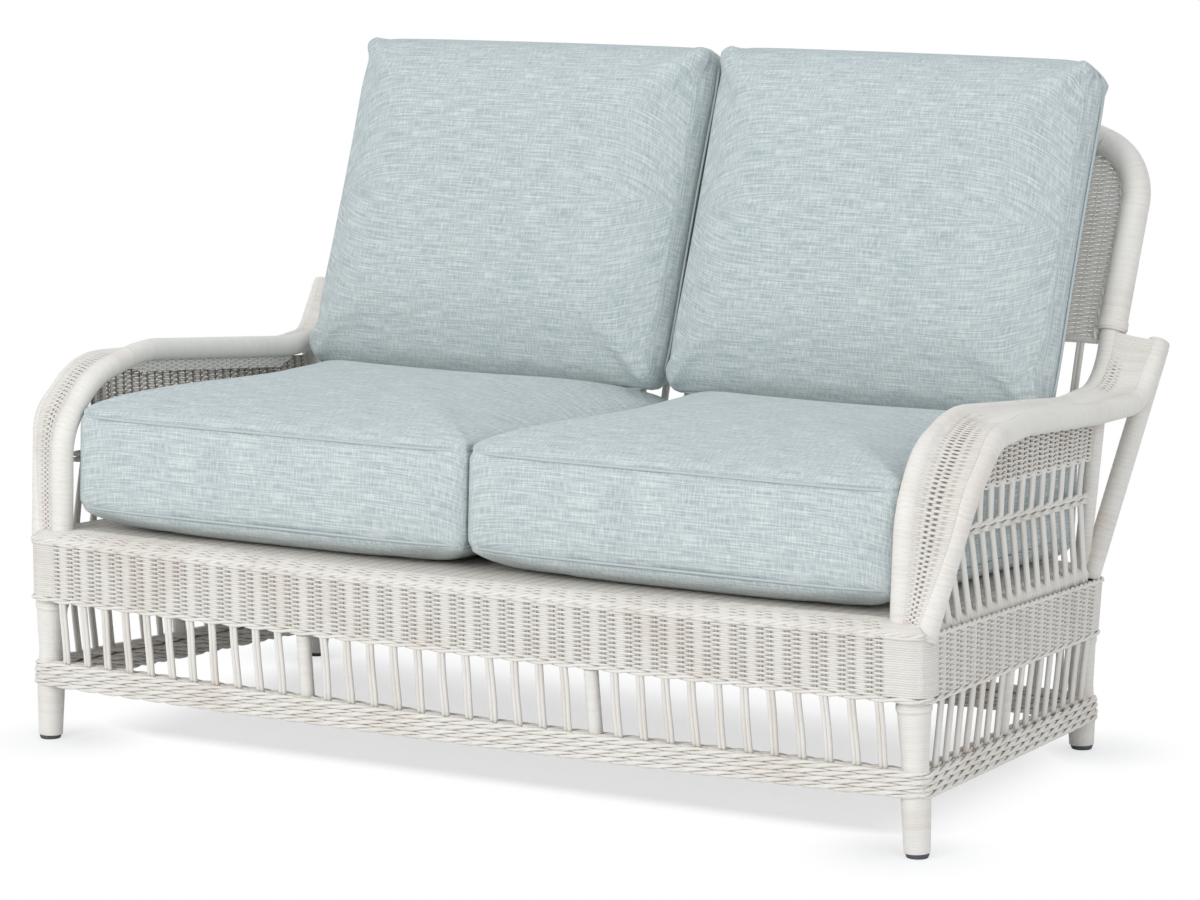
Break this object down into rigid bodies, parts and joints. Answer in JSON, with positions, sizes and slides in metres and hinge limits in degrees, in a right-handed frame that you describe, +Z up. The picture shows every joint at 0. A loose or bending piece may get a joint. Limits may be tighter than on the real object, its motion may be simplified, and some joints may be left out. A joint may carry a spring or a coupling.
{
  "type": "patio loveseat",
  "caption": "Woven patio loveseat: splayed legs, spindle galleries, scrolled two-roll arms, arched back and loose seat and back cushions.",
  "frame": {"origin": "on the floor, in the middle of the whole loveseat's length and depth", "axes": "+X to the right as one faces the loveseat from its front, +Y to its back, +Z up"},
  "size_m": [1.4868, 0.9626, 0.9931],
  "materials": {
    "wicker": "off-white woven and wrapped resin strand, satin",
    "glide": "dark grey moulded plastic",
    "cushion": "pale aqua slub weave with white threads"
  },
  "bodies": {
    "frame": {"arm_band_left": "wicker", "arm_band_right": "wicker", "arm_inner_roll_left": "wicker", "arm_inner_roll_right": "wicker", "arm_mid_reeds_left": "wicker", "arm_mid_reeds_right": "wicker", "arm_outer_roll_left": "wicker", "arm_outer_roll_right": "wicker", "arm_panel_left": "wicker", "arm_panel_right": "wicker", "arm_rear_post_left": "wicker", "arm_rear_post_right": "wicker", "arm_upper_reeds_left": "wicker", "arm_upper_reeds_right": "wicker", "arm_web_left": "wicker", "arm_web_right": "wicker", "arm_wing_left": "wicker", "arm_wing_right": "wicker", "back_panel": "wicker", "back_post_left": "wicker", "back_post_right": "wicker", "back_reeds": "wicker", "back_top_rail": "wicker", "front_apron": "wicker", "front_gallery_posts": "wicker", "front_glide_left": "glide", "front_glide_right": "glide", "front_leg_left": "wicker", "front_leg_right": "wicker", "front_rail": "wicker", "front_reeds": "wicker", "rake_post_left": "wicker", "rake_post_right": "wicker", "rear_apron": "wicker", "rear_gallery_posts": "wicker", "rear_glide_left": "glide", "rear_glide_right": "glide", "rear_leg_left": "wicker", "rear_leg_right": "wicker", "rear_rail": "wicker", "rear_reeds": "wicker", "seat_cross_tubes": "wicker", "seat_deck": "wicker", "seat_front_tube": "wicker", "seat_rear_tube": "wicker", "seat_side_tube_left": "wicker", "seat_side_tube_right": "wicker", "side_apron_left": "wicker", "side_apron_right": "wicker", "side_gallery_post_left": "wicker", "side_gallery_post_right": "wicker", "side_rail_left": "wicker", "side_rail_right": "wicker", "side_reeds_left": "wicker", "side_reeds_right": "wicker"},
    "seat_cushion_left": {"seat_cushion_left": "cushion"},
    "seat_cushion_right": {"seat_cushion_right": "cushion"},
    "back_cushion_left": {"back_cushion_left": "cushion"},
    "back_cushion_right": {"back_cushion_right": "cushion"}
  },
  "joints": [
    {"name": "seat_cushion_left_slide", "type": "slide", "parent": "frame", "child": "seat_cushion_left", "axis": [0, -0.9988, 0.0497], "range_m": [0, 0.62]},
    {"name": "seat_cushion_right_slide", "type": "slide", "parent": "frame", "child": "seat_cushion_right", "axis": [0, -0.9988, 0.0497], "range_m": [0, 0.62]},
    {"name": "back_cushion_left_lift", "type": "slide", "parent": "frame", "child": "back_cushion_left", "axis": [0, 0.3673, 0.9301], "range_m": [0, 0.5]},
    {"name": "back_cushion_right_lift", "type": "slide", "parent": "frame", "child": "back_cushion_right", "axis": [0, 0.3673, 0.9301], "range_m": [0, 0.5]}
  ]
}
